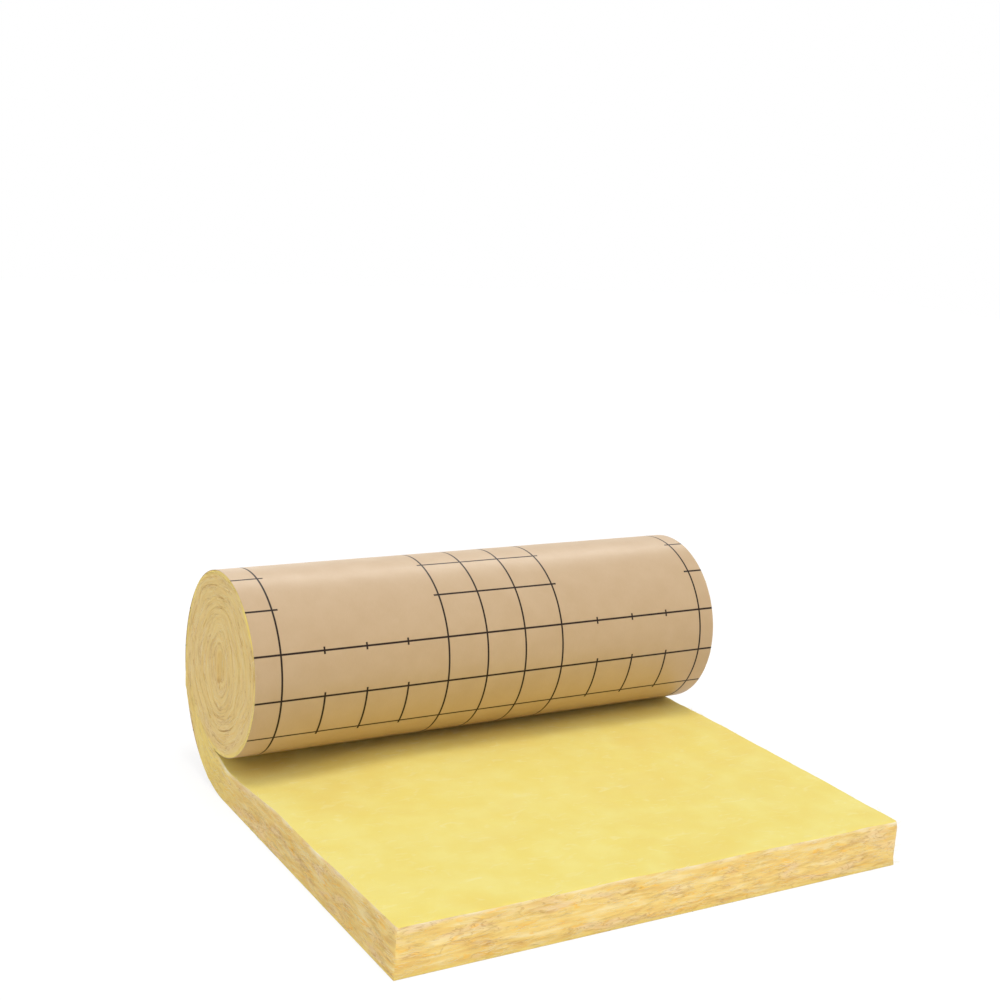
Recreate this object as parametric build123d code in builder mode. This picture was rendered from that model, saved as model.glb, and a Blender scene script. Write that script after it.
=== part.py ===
"""Kraft-faced glass wool insulation roll, partly unrolled, as it lies on a level floor.

The blanket is one strip of glass wool with a kraft paper facing bonded to one side. It lies facing down.
At the back it curls up and over into a roll that rests on its own laid length, so the facing is outside.
X runs along the roll's axis, Y runs back from the cut front edge, Z is up, and the floor is Z = 0.
Lengths are in millimetres.
"""

import os
from math import acos, atan2, degrees, sqrt

from build123d import *

# Blanket as sold, laid flat
blanket_width = 1200.0
loft_thickness = 100.0
facing_thickness = 0.5

# Roll as wound, with the wool pressed together
roll_radius = 206.0
turn_pitch = 28.0
core_radius = 30.0

# Laid length, from the cut front edge to a point under the roll's axis
laid_length = 882.0
seat_thickness = 96.0
seat_rise = 2.0
recovery_length = 330.0

# Seam between the turns, where it shows on the two ends of the roll
seam_width = 4.0
seam_depth = 7.0
seam_lead = 10.0

# The roll sits on the pressed blanket, and its axis stands this high
axis_height = seat_thickness + roll_radius

# The tail leaves the floor and wraps the back of the roll in one arc, half a turn clear of the roll at the back
mean_wrap = sqrt(turn_pitch * seat_thickness)
tail_radius = roll_radius + turn_pitch / 2 + seat_thickness - mean_wrap
tail_setback = seat_thickness - mean_wrap
tail_end_angle = degrees(atan2(mean_wrap - turn_pitch / 2, tail_setback))

# The part stands centred over its footprint
depth = laid_length + roll_radius + turn_pitch / 2
front_y = -depth / 2
axis_y = front_y + laid_length
tail_y = axis_y - tail_setback

# The roll meets the laid blanket in front along this line
seat_line_height = seat_thickness + seat_rise
seat_angle = degrees(acos(1 - seat_rise / roll_radius))
seat_line_reach = sqrt(roll_radius**2 - (roll_radius - seat_rise) ** 2)
wool_radius = roll_radius - facing_thickness
wool_line_reach = sqrt(wool_radius**2 - (roll_radius - seat_rise) ** 2)
wool_seat_angle = degrees(acos((roll_radius - seat_rise) / wool_radius))
seat_point = (axis_y - seat_line_reach, seat_line_height)
wool_seat_point = (axis_y - wool_line_reach, seat_line_height)
swell_start = (seat_point[0] - recovery_length, loft_thickness)

# The seam starts this far round from the lowest line, out in the narrow gap in front of the seat
seam_start_angle = wool_seat_angle + degrees(seam_lead / wool_radius)

# Directions in the section, as angles from +Y
BOTTOM_ANGLE = -90
TOP_ANGLE = 90
HALF_TURN = 180
FULL_TURN = 360


def outer_path(inset, end_angle):
    """Draws the facing side of the section: along the floor, up the tail and over the roll."""
    floor_run = Line((front_y, inset), (tail_y, inset))
    tail = JernArc(
        start=floor_run @ 1,
        tangent=floor_run % 1,
        radius=tail_radius - inset,
        arc_size=tail_end_angle - BOTTOM_ANGLE,
    )
    wrap = JernArc(
        start=tail @ 1,
        tangent=tail % 1,
        radius=roll_radius - inset,
        arc_size=FULL_TURN + BOTTOM_ANGLE - end_angle - tail_end_angle,
    )
    return floor_run @ 0, wrap @ 1


def seam_path(sideways):
    """Draws the spiral between the turns as half circles about two centres, moved sideways by that much."""
    axis = (axis_y, axis_height)
    low_axis = (axis_y, axis_height - turn_pitch / 2)
    radius = wool_radius
    under_roll = CenterArc(axis, radius + sideways, BOTTOM_ANGLE - seam_start_angle, seam_start_angle)
    start, end = under_roll @ 0, under_roll @ 1
    at_back = True
    while radius - turn_pitch / 2 > core_radius:
        radius -= turn_pitch / 2
        centre, from_angle = (low_axis, BOTTOM_ANGLE) if at_back else (axis, TOP_ANGLE)
        half_turn = CenterArc(centre, radius + sideways, from_angle, HALF_TURN)
        end = half_turn @ 1
        at_back = not at_back
    return start, end


# Wool blanket: the laid length and the roll are one strip
with BuildPart() as wool_blanket:
    with BuildSketch(Plane.YZ) as blanket_section:
        with BuildLine():
            wool_front_foot, _ = outer_path(facing_thickness, wool_seat_angle)
            Line(wool_seat_point, seat_point)
            Spline(seat_point, swell_start, tangents=[(-1, 0), (-1, 0)])
            Polyline(swell_start, (front_y, loft_thickness), wool_front_foot)
        make_face()
    extrude(amount=blanket_width / 2, both=True)
    for side in (-1, 1):
        with BuildSketch(Plane.YZ.offset(side * blanket_width / 2)) as end_seam:
            with BuildLine():
                outer_start, outer_end = seam_path(seam_width / 2)
                inner_start, inner_end = seam_path(-seam_width / 2)
                Line(outer_start, inner_start)
                Line(outer_end, inner_end)
            make_face()
        extrude(amount=-side * seam_depth, mode=Mode.SUBTRACT)

# Kraft facing: one sheet under the laid length, up the tail and over the roll to where the roll sits
with BuildPart() as kraft_facing:
    with BuildSketch(Plane.YZ) as facing_section:
        with BuildLine():
            paper_front, paper_end = outer_path(0, seat_angle)
            bonded_front, bonded_end = outer_path(facing_thickness, wool_seat_angle)
            Line(paper_front, bonded_front)
            Line(paper_end, bonded_end)
        make_face()
    extrude(amount=blanket_width / 2, both=True)

wool_blanket.part.label = "wool_blanket"
kraft_facing.part.label = "kraft_facing"

os.makedirs("parts", exist_ok=True)
export_step(wool_blanket.part, "parts/wool_blanket.step")
export_step(kraft_facing.part, "parts/kraft_facing.step")
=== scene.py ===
"""Looks of a kraft-faced glass wool roll that lies partly unrolled on a level floor.

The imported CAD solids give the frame, the sizes and the places. A finished piece stands for each solid: the
wool blanket with its wound ends and cut edges, and the kraft facing with its printed cutting grid. Loose
fibres stand out of the wool. Lengths are in metres: X runs along the roll, Y runs back from the cut front
edge, Z is up.
"""

import functools
import logging
import math
from collections.abc import Mapping, Sequence
from dataclasses import dataclass, field
from enum import Enum, IntEnum

import bpy
from mathutils import Matrix, Vector, noise


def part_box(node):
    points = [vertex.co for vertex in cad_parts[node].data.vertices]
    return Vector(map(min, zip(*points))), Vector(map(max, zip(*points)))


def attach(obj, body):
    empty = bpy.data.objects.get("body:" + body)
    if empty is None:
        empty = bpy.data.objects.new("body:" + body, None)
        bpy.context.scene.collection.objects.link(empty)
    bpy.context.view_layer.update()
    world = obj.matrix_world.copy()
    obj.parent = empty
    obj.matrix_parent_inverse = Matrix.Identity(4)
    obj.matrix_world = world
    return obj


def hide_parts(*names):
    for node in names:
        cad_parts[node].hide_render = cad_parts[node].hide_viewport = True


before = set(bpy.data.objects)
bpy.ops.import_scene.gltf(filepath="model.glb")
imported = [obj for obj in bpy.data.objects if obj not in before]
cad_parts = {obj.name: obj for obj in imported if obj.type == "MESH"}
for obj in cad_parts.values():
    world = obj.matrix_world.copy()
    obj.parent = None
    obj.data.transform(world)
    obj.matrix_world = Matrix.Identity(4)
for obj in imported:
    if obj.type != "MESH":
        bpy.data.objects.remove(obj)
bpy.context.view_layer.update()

log = logging.getLogger("insulation_roll")

MM = 0.001
FIRST_ROW_TURN = math.radians(13.2)  # first printed row, from the top of the roll towards the front

# Maps and values that the meshes carry
LAYER_MAP = "layers"
SHEET_MAP = "sheet"
FUZZ = "fuzz"
GRAIN = "grain"

# Directions in which the layers of wool run
ALONG_ROLL = Vector((1.0, 0.0, 0.0))
ALONG_STRIP = Vector((0.0, 1.0, 0.0))
UPRIGHT = Vector((0.0, 0.0, 1.0))

NodeValue = bpy.types.Node | bpy.types.NodeSocket | float | int | str | tuple | bpy.types.Material


def linear(colour: str) -> tuple[float, float, float, float]:
    """Turns an sRGB hex colour into linear values.

    Args:
        colour: Six hex digits after a hash sign.

    Returns:
        Linear red, green and blue, and an alpha of 1.
    """
    parts = [int(colour[i : i + 2], 16) / 255 for i in (1, 3, 5)]
    red, green, blue = (c / 12.92 if c <= 0.04045 else ((c + 0.055) / 1.055) ** 2.4 for c in parts)
    return red, green, blue, 1.0


def smooth(share: float) -> float:
    """Eases a share from 0 to 1, with level ends, and keeps it in that range."""
    share = min(max(share, 0.0), 1.0)
    return share * share * (3 - 2 * share)


def add_node(
    tree: bpy.types.NodeTree,
    kind: str,
    inputs: Mapping[str | int, NodeValue] | Sequence[NodeValue] = (),
    **settings: object,
) -> bpy.types.Node:
    """Adds a node to a tree, with its settings, values and links.

    Args:
        tree: The material's or modifier's node tree.
        kind: The node's type name.
        inputs: A value, or a node or socket to link, for each input by name or number, or for the
            first inputs in order.
        settings: Properties of the node itself.

    Returns:
        The new node.
    """
    node = tree.nodes.new(kind)
    for name, value in settings.items():
        setattr(node, name, value)
    sockets = [socket for socket in node.inputs if socket.enabled]
    by_name = {socket.name: socket for socket in reversed(sockets)}
    pairs = inputs.items() if isinstance(inputs, Mapping) else enumerate(inputs)
    for key, value in pairs:
        socket = by_name[key] if isinstance(key, str) else sockets[key]
        if isinstance(value, bpy.types.Node):
            value = next(output for output in value.outputs if output.enabled)
        if isinstance(value, bpy.types.NodeSocket):
            tree.links.new(value, socket)
        else:
            socket.default_value = value
    return node


def empty_material(name: str) -> tuple[bpy.types.Material, bpy.types.NodeTree]:
    """Starts a material.

    Args:
        name: The material's name.

    Returns:
        The material and its node tree, which is empty.
    """
    material = bpy.data.materials.new(name)
    material.use_nodes = True
    material.node_tree.nodes.clear()
    return material, material.node_tree


class Side(IntEnum):
    """End of the roll, by the sign of X there."""

    LEFT = -1
    RIGHT = 1


class WoolFace(IntEnum):
    """Finish of a face of the wool, by its place in the piece's material slots."""

    MATTED = 0
    CUT = 1


class Trait(Enum):
    """Values from 0 to 1 that the cut wool carries at its points, by the name of the attribute."""

    WOUND = "wound"
    RIM = "rim"
    # painted shade, which the cut finish lays into folds, open seams and the slot in the middle of the
    # winding
    CREASE = "crease_shade"
    LIP = "lip"


@dataclass(frozen=True)
class Stain:
    """A colour that comes in as a pattern goes from one level to another, up to a share of the whole."""

    colour: str
    pattern: str
    start: float = 0.0
    full: float = 1.0
    share: float = 1.0


def stained(
    tree: bpy.types.NodeTree, ground: str, stains: Sequence[Stain], patterns: Mapping[str, NodeValue]
) -> bpy.types.Node:
    """Lays stains over a ground colour, one after the other.

    Args:
        tree: The material's node tree.
        ground: The colour below them, as sRGB hex.
        stains: The stains, lowest first.
        patterns: The node or socket that gives each named pattern.

    Returns:
        The node that gives the colour.
    """
    colour = linear(ground)
    for stain in stains:
        levels = {"From Min": stain.start, "From Max": stain.full, "To Max": stain.share}
        part = add_node(tree, "ShaderNodeMapRange", {"Value": patterns[stain.pattern]} | levels)
        layers = {"Factor": part, "A": colour, "B": linear(stain.colour)}
        colour = add_node(tree, "ShaderNodeMix", layers, data_type="RGBA")
    return colour


@dataclass(frozen=True)
class MattedWoolFace:
    """Glass wool as the felting belt leaves it: a flat mat of fine fibres, dull, lemon and softly blotched.

    Its felt is drawn coarser than the real one, which is too fine to show.
    """

    lemon: str = "#f3df72"
    pale: str = "#f5e581"
    warm: str = "#f1d86b"
    wisp: str = "#f9eea8"
    blotch_size: float = 80 * MM
    warm_size: float = 180 * MM
    wisp_length: float = 44 * MM
    wisp_breadth: float = 20 * MM
    wisp_turn: float = math.radians(35)
    felt_size: float = 7 * MM
    felt_height: float = 2 * MM

    def build(self) -> bpy.types.Material:
        """Makes the material of the wide face of the mat.

        Returns:
            The material.
        """
        material, tree = empty_material("matted_glass_wool_face")
        place = add_node(tree, "ShaderNodeTexCoord").outputs["Object"]
        patterns = {}
        for name, size, detail in (("blotch", self.blotch_size, 4.0), ("warmth", self.warm_size, 3.0)):
            cloud = {"Vector": place, "Scale": 1 / size, "Detail": detail}
            patterns[name] = add_node(tree, "ShaderNodeTexNoise", cloud)
        comb = {
            "Vector": place,
            "Rotation": (0.0, 0.0, self.wisp_turn),
            "Scale": (1 / self.wisp_length, 1 / self.wisp_breadth, 1 / self.wisp_breadth),
        }
        combed = add_node(tree, "ShaderNodeMapping", comb)
        drift = add_node(
            tree, "ShaderNodeTexNoise", {"Vector": combed, "Scale": 1.0, "Detail": 2.0, "Distortion": 1.4}
        )
        wisps = add_node(
            tree, "ShaderNodeMapRange", {"Value": drift, "From Min": 0.58, "From Max": 0.8, "To Max": 0.45}
        )
        patterns["wisps"] = wisps
        stains = (
            Stain(self.pale, "blotch", start=0.35, full=0.65),
            Stain(self.warm, "warmth", start=0.5, full=0.72, share=0.75),
            Stain(self.wisp, "wisps"),
        )
        fibres = {"Vector": place, "Scale": 1 / self.felt_size, "Detail": 5.0, "Roughness": 0.65}
        felt = add_node(tree, "ShaderNodeTexNoise", fibres)
        height = add_node(tree, "ShaderNodeMath", [felt, wisps], operation="ADD")
        relief = {"Strength": 0.35, "Distance": self.felt_height, "Height": height}
        surface = {
            "Base Color": stained(tree, self.lemon, stains, patterns),
            "Normal": add_node(tree, "ShaderNodeBump", relief),
            "Roughness": 0.95,
            "Specular IOR Level": 0.15,
            "Sheen Weight": 0.2,
            "Sheen Roughness": 0.6,
        }
        shader = add_node(tree, "ShaderNodeBsdfPrincipled", surface)
        add_node(tree, "ShaderNodeOutputMaterial", [shader])
        return material


@dataclass(frozen=True)
class CutWoolEdge:
    """Glass wool sawn across its layers: tan and honey streaks along the layers, torn pale and orange tufts.

    Each pattern has a length along the layers and a breadth across them. Folds and seams get painted shade.
    """

    honey: str = "#edcd7a"
    tan: str = "#dfb465"
    cream: str = "#f4e2ac"
    rose: str = "#edcf9f"
    orange: str = "#f2bf4e"
    # painted shade for folds, open seams and the middle of the winding
    shade: str = "#b9853c"
    wound: str = "#e9cc88"
    rim: str = "#f4dc74"
    lip: str = "#fbf4de"
    streak: tuple[float, float] = (85 * MM, 11 * MM)
    tuft: tuple[float, float] = (46 * MM, 11 * MM)
    patch: tuple[float, float] = (130 * MM, 30 * MM)
    fold: tuple[float, float] = (52 * MM, 12 * MM)
    fold_line: float = 0.034
    tuft_height: float = 1.5 * MM

    def build(self) -> bpy.types.Material:
        """Makes the material of the cut edges and the wound ends.

        Returns:
            The material.
        """
        material, tree = empty_material("sawn_glass_wool_edge")
        layers = add_node(tree, "ShaderNodeUVMap", uv_map=LAYER_MAP)
        patterns = {}
        for name, (length, breadth), bend in (
            ("streak", self.streak, 0.6),
            ("tuft", self.tuft, 0.9),
            ("patch", self.patch, 0.5),
            ("fold", self.fold, 1.1),
        ):
            comb = {"Vector": layers, "Scale": (1 / length, 1 / breadth, 1.0)}
            combed = add_node(tree, "ShaderNodeMapping", comb)
            drawn = {"Vector": combed, "Scale": 1.0, "Detail": 2.5, "Distortion": bend}
            patterns[name] = add_node(tree, "ShaderNodeTexNoise", drawn)
        # fold lines in torn patches sink the bump and get painted shade
        from_fold = add_node(tree, "ShaderNodeMath", [patterns["fold"], 0.5], operation="SUBTRACT")
        near_fold = add_node(tree, "ShaderNodeMath", [from_fold], operation="ABSOLUTE")
        on_fold = {"Value": near_fold, "From Max": self.fold_line, "To Min": 1.0, "To Max": 0.0}
        line = add_node(tree, "ShaderNodeMapRange", on_fold)
        in_patch = {"Value": patterns["patch"], "From Min": 0.42, "From Max": 0.58}
        torn = add_node(tree, "ShaderNodeMapRange", in_patch)
        fold_dip_and_shade = add_node(tree, "ShaderNodeMath", [line, torn], operation="MULTIPLY")
        patterns["painted fold shade"] = fold_dip_and_shade
        for trait in Trait:
            value = add_node(tree, "ShaderNodeAttribute", attribute_name=trait.value)
            patterns[trait.value] = value.outputs["Fac"]
        stains = (
            Stain(self.tan, "streak", start=0.5, full=0.3, share=0.8),
            Stain(self.cream, "streak", start=0.52, full=0.7, share=0.7),
            Stain(self.rose, "patch", start=0.52, full=0.66, share=0.7),
            Stain(self.orange, "tuft", start=0.58, full=0.7, share=0.75),
            Stain(self.wound, Trait.WOUND.value, share=0.6),
            Stain(self.rim, Trait.RIM.value, share=0.8),
            # painted shade in folds, seams and the middle of the winding, then on the fold lines
            Stain(self.shade, Trait.CREASE.value, share=0.32),
            Stain(self.shade, "painted fold shade", share=0.55),
            Stain(self.lip, Trait.LIP.value, share=0.85),
        )
        raised = add_node(tree, "ShaderNodeMath", [patterns["streak"], patterns["tuft"]], operation="ADD")
        height = add_node(tree, "ShaderNodeMath", [raised, fold_dip_and_shade], operation="SUBTRACT")
        relief = {"Strength": 0.4, "Distance": self.tuft_height, "Height": height}
        surface = {
            "Base Color": stained(tree, self.honey, stains, patterns),
            "Normal": add_node(tree, "ShaderNodeBump", relief),
            "Roughness": 0.92,
            "Specular IOR Level": 0.15,
            "Sheen Weight": 0.15,
            "Sheen Roughness": 0.6,
        }
        shader = add_node(tree, "ShaderNodeBsdfPrincipled", surface)
        add_node(tree, "ShaderNodeOutputMaterial", [shader])
        return material


@dataclass(frozen=True)
class CuttingGrid:
    """Printed grid for cutting the roll to width: full lines, short ticks between them and a ruled strip."""

    first_row: float
    step: float = 100 * MM
    margin: float = 60 * MM  # from the side of the sheet to the first column
    columns: int = 12
    line_width: float = 4.4 * MM
    line_blur: float = 0.5 * MM
    repeat: float = 600 * MM
    middle_half: float = 162 * MM  # reach of a short row from the middle of the sheet
    stub_start: float = 537 * MM  # where it goes on, towards the sides
    bare_start: float = 200 * MM  # columns from here, counted from the middle, have only short parts
    bare_end: float = 500 * MM
    tick_half: float = 8 * MM
    leader: float = 9 * MM  # how far a column runs past the ruled strip

    def mask(self, tree: bpy.types.NodeTree, sheet: bpy.types.Node) -> bpy.types.Node:
        """Draws the grid.

        Args:
            tree: The material's node tree.
            sheet: The node that gives the place on the sheet, in metres.

        Returns:
            The node that gives 1 on a printed line and 0 on bare paper.
        """
        parts = add_node(tree, "ShaderNodeSeparateXYZ", [sheet])
        across, along = parts.outputs["X"], parts.outputs["Y"]
        middle = self.margin + (self.columns - 1) / 2 * self.step
        from_middle = add_node(tree, "ShaderNodeMath", [across, middle], operation="SUBTRACT")
        reach = add_node(tree, "ShaderNodeMath", [from_middle], operation="ABSOLUTE")
        half_step = self.step / 2
        shifted = add_node(tree, "ShaderNodeMath", [along, half_step - self.first_row], operation="ADD")
        in_repeat = add_node(tree, "ShaderNodeMath", [shifted, self.repeat], operation="FLOORED_MODULO")
        row_place = add_node(tree, "ShaderNodeMath", [in_repeat, half_step], operation="SUBTRACT")
        lines = {}
        for name, place, offset in (("column", across, self.margin), ("row", row_place, 0.0)):
            from_line = add_node(tree, "ShaderNodeMath", [place, half_step - offset], operation="ADD")
            in_step = add_node(tree, "ShaderNodeMath", [from_line, self.step], operation="FLOORED_MODULO")
            centred = add_node(tree, "ShaderNodeMath", [in_step, half_step], operation="SUBTRACT")
            gap = add_node(tree, "ShaderNodeMath", [centred], operation="ABSOLUTE")
            lines[name] = add_node(
                tree,
                "ShaderNodeMapRange",
                {
                    "Value": gap,
                    "From Min": self.line_width / 2 - self.line_blur,
                    "From Max": self.line_width / 2 + self.line_blur,
                    "To Min": 1.0,
                    "To Max": 0.0,
                },
            )
        third_row, fourth_row, fifth_row = (number * self.step for number in (2, 3, 4))
        bands = {}
        for name, place, low, high in (
            ("bare columns", reach, self.bare_start, self.bare_end),
            ("middle", reach, -half_step, self.middle_half),
            ("stubs", reach, self.stub_start, 2 * middle),
            ("short rows", row_place, -half_step, third_row - half_step),
            ("full rows", row_place, third_row - half_step, fifth_row + half_step),
            ("tick", row_place, third_row - self.tick_half, third_row + self.tick_half),
            ("ruled strip", row_place, fourth_row - self.leader, fifth_row + self.leader),
        ):
            above = add_node(tree, "ShaderNodeMath", [place, low], operation="GREATER_THAN")
            below = add_node(tree, "ShaderNodeMath", [place, high], operation="LESS_THAN")
            bands[name] = add_node(tree, "ShaderNodeMath", [above, below], operation="MULTIPLY")
        whole_columns = add_node(tree, "ShaderNodeMath", [1.0, bands["bare columns"]], operation="SUBTRACT")
        short_columns = add_node(
            tree, "ShaderNodeMath", [bands["tick"], bands["ruled strip"]], operation="ADD"
        )
        columns = add_node(
            tree, "ShaderNodeMath", [whole_columns, short_columns], operation="ADD", use_clamp=True
        )
        short_spans = add_node(tree, "ShaderNodeMath", [bands["middle"], bands["stubs"]], operation="ADD")
        short_rows = add_node(
            tree, "ShaderNodeMath", [bands["short rows"], short_spans], operation="MULTIPLY"
        )
        rows = add_node(
            tree, "ShaderNodeMath", [short_rows, bands["full rows"]], operation="ADD", use_clamp=True
        )
        column_ink = add_node(tree, "ShaderNodeMath", [lines["column"], columns], operation="MULTIPLY")
        row_ink = add_node(tree, "ShaderNodeMath", [lines["row"], rows], operation="MULTIPLY")
        return add_node(tree, "ShaderNodeMath", [column_ink, row_ink], operation="MAXIMUM")


@dataclass(frozen=True)
class KraftPaper:
    """Calendered brown kraft paper: smooth, with a sheen where it turns away and faint pulp clouds.

    The outer side has a cutting grid in flat dark ink. The side towards the wool is bare. The pulp is drawn
    coarser than real pulp, which is too fine to show.
    """

    name: str
    grid: CuttingGrid | None = None
    paper: str = "#cfb28d"
    cloud: str = "#caac86"
    ink: str = "#24150d"
    sheen: float = 0.3
    cloud_size: float = 60 * MM
    pulp_length: float = 12 * MM
    pulp_breadth: float = 2.5 * MM
    pulp_height: float = 0.3 * MM
    pulp_share: float = 0.4

    def build(self) -> bpy.types.Material:
        """Makes the material of a side of the facing, on the sheet's own map in metres.

        Returns:
            The material.
        """
        material, tree = empty_material(self.name)
        sheet = add_node(tree, "ShaderNodeUVMap", uv_map=SHEET_MAP)
        clouds = add_node(
            tree, "ShaderNodeTexNoise", {"Vector": sheet, "Scale": 1 / self.cloud_size, "Detail": 4.0}
        )
        comb = {"Vector": sheet, "Scale": (1 / self.pulp_breadth, 1 / self.pulp_length, 1.0)}
        combed = add_node(tree, "ShaderNodeMapping", comb)
        pulp = add_node(tree, "ShaderNodeTexNoise", {"Vector": combed, "Scale": 1.0, "Detail": 3.0})
        mottle = add_node(tree, "ShaderNodeMath", [pulp, self.pulp_share, clouds], operation="MULTIPLY_ADD")
        patterns = {"mottle": mottle}
        stains = [Stain(self.cloud, "mottle", start=0.5, full=0.9)]
        sheen = self.sheen
        if self.grid:
            inked = self.grid.mask(tree, sheet)
            patterns["print"] = inked
            stains.append(Stain(self.ink, "print"))
            sheen = add_node(tree, "ShaderNodeMapRange", {"Value": inked, "To Min": sheen, "To Max": 0.0})
        relief = {"Strength": 0.12, "Distance": self.pulp_height, "Height": pulp}
        surface = {
            "Base Color": stained(tree, self.paper, stains, patterns),
            "Normal": add_node(tree, "ShaderNodeBump", relief),
            "Roughness": add_node(
                tree, "ShaderNodeMapRange", {"Value": clouds, "To Min": 0.48, "To Max": 0.56}
            ),
            "Specular IOR Level": 0.2,
            "Coat Weight": sheen,
            "Coat Roughness": 0.35,
            "Coat IOR": 1.5,
        }
        shader = add_node(tree, "ShaderNodeBsdfPrincipled", surface)
        add_node(tree, "ShaderNodeOutputMaterial", [shader])
        return material


@dataclass(frozen=True)
class GlassFibre:
    """Single drawn glass fibres with a film of binder: thin, pale straw, and glossier than the mat."""

    straw: str = "#efdc92"
    cream: str = "#faf2d2"
    tone_size: float = 40 * MM

    def build(self) -> bpy.types.Material:
        """Makes the material of the loose fibres.

        Returns:
            The material.
        """
        material, tree = empty_material("drawn_glass_fibre")
        place = add_node(tree, "ShaderNodeTexCoord").outputs["Object"]
        tone = add_node(
            tree, "ShaderNodeTexNoise", {"Vector": place, "Scale": 1 / self.tone_size, "Detail": 2.0}
        )
        stains = [Stain(self.cream, "tone", start=0.35, full=0.65)]
        surface = {
            "Base Color": stained(tree, self.straw, stains, {"tone": tone}),
            "Roughness": 0.5,
            "IOR": 1.52,
            "Specular IOR Level": 0.3,
        }
        shader = add_node(tree, "ShaderNodeBsdfPrincipled", surface)
        add_node(tree, "ShaderNodeOutputMaterial", [shader])
        return material


@dataclass(frozen=True)
class RollSection:
    """Side view of the blanket, from its cut front edge to the middle of the roll.

    A place on the facing side is given by the angle turned since the floor: nothing where the tail leaves
    the floor, half a turn at the top of the roll, one turn where the roll rests on the laid length, and on
    into the winding.
    """

    front_y: float
    axis_y: float
    roll_radius: float
    seat: float = 96 * MM  # thickness of the laid length under the roll
    pitch: float = 28 * MM  # thickness of a turn
    loft: float = 100 * MM  # full thickness of the laid length
    recovery: float = 330 * MM  # run over which it swells to that
    facing: float = 0.5 * MM  # thickness of the paper
    stations: int = 180  # in a turn
    touch_station: int = 189  # where the roll and the laid length part

    @classmethod
    def from_frame(cls) -> "RollSection":
        """Works the section out from the facing's box in the frame.

        Returns:
            The section.
        """
        low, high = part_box("kraft_facing")
        radius = (high.z - cls.seat) / 2
        return cls(front_y=low.y, axis_y=high.y - radius - cls.pitch / 2, roll_radius=radius)

    @property
    def axis_z(self) -> float:
        """Height of the roll's axis."""
        return self.seat + self.roll_radius

    @property
    def mean_wrap(self) -> float:
        """Thickness of the tail where it is half pressed."""
        return math.sqrt(self.pitch * self.seat)

    @property
    def tail_radius(self) -> float:
        """Radius of the arc in which the tail leaves the floor."""
        return self.roll_radius + self.pitch / 2 + self.seat - self.mean_wrap

    @property
    def tail_y(self) -> float:
        """Place where the tail leaves the floor."""
        return self.axis_y - self.seat + self.mean_wrap

    @property
    def tail_turn(self) -> float:
        """Angle turned where the tail joins the round of the roll."""
        return math.pi / 2 + math.atan2(self.mean_wrap - self.pitch / 2, self.seat - self.mean_wrap)

    @property
    def tail_station(self) -> int:
        """Station of the tail that lies under the line where the roll and the laid length part."""
        return self.touch_station - self.stations

    @property
    def foot_length(self) -> float:
        """Length of the facing from the cut edge to the tail station."""
        return self.tail_y - self.front_y + self.tail_radius * math.tau * self.tail_station / self.stations

    @property
    def facing_length(self) -> float:
        """Length of the facing from the cut edge to just short of where it runs in between the turns."""
        return self.facing_run(math.tau * (self.touch_station - 1) / self.stations)

    def facing_run(self, angle: float) -> float:
        """Gives the length of the facing from the cut edge to a place on the round of the roll.

        Args:
            angle: Angle turned there since the floor.

        Returns:
            The length.
        """
        floor_run = self.tail_y - self.front_y
        wrap = self.roll_radius * (angle - self.tail_turn)
        return floor_run + self.tail_radius * self.tail_turn + wrap

    def facing_line(self, angle: float, inset: float = 0.0) -> Vector:
        """Gives a point on the facing side.

        Args:
            angle: Angle turned since the floor.
            inset: Distance in from the facing's outer side.

        Returns:
            The point's Y and Z.
        """
        if angle <= self.tail_turn:
            centre, radius = Vector((self.tail_y, self.tail_radius)), self.tail_radius
        elif angle <= math.tau:
            centre, radius = Vector((self.axis_y, self.axis_z)), self.roll_radius
        else:
            half_turns = 1 + int((angle - math.tau) / math.pi)
            drop = self.pitch / 2 if half_turns % 2 else 0.0
            centre = Vector((self.axis_y, self.axis_z - drop))
            radius = self.roll_radius - half_turns * self.pitch / 2
        return centre + (radius - inset) * Vector((math.sin(angle), -math.cos(angle)))

    def foot_line(self, run: float, inset: float) -> Vector:
        """Gives a point on the floor or the tail, by its run from the cut edge and its inset.

        Args:
            run: Length of the facing from the cut edge.
            inset: Distance in from the facing's outer side.

        Returns:
            The point's Y and Z.
        """
        past_floor = run - self.tail_y + self.front_y
        if past_floor <= 0:
            return Vector((self.front_y + run, inset))
        return self.facing_line(past_floor / self.tail_radius, inset)

    def station(self, number: int) -> Vector:
        """Gives the wool's own point at a numbered station of the winding."""
        inset = self.facing if number < self.touch_station else 0.0
        return self.facing_line(math.tau * number / self.stations, inset)

    def underside(self, y: float) -> float:
        """Gives the height of the roll's lower side above a place on the floor.

        Args:
            y: The place, back from the front.

        Returns:
            The height above the floor.
        """
        drop = self.pitch / 2 if y > self.axis_y else 0.0
        radius = self.roll_radius - drop
        return self.axis_z - drop - math.sqrt(max(0.0, radius**2 - (y - self.axis_y) ** 2))


@dataclass(frozen=True)
class Ripples:
    """Smooth noise with bumps of a given length, breadth and height, and a seed that sets it apart."""

    length: float
    breadth: float
    height: float = 1.0
    seed: float = 0.0

    def at(self, along: float, across: float, side: Side = Side.RIGHT, shift: float = 0.0) -> float:
        """Gives the noise at a place.

        Args:
            along: Place along the bumps.
            across: Place across the bumps.
            side: End of the roll, which has noise of its own.
            shift: Number that sets one edge or turn apart from the others.

        Returns:
            The height there, at most the bumps' own height up or down.
        """
        place = Vector((along / self.length, across / self.breadth, self.seed * side + shift))
        return self.height * noise.noise(place)


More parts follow.
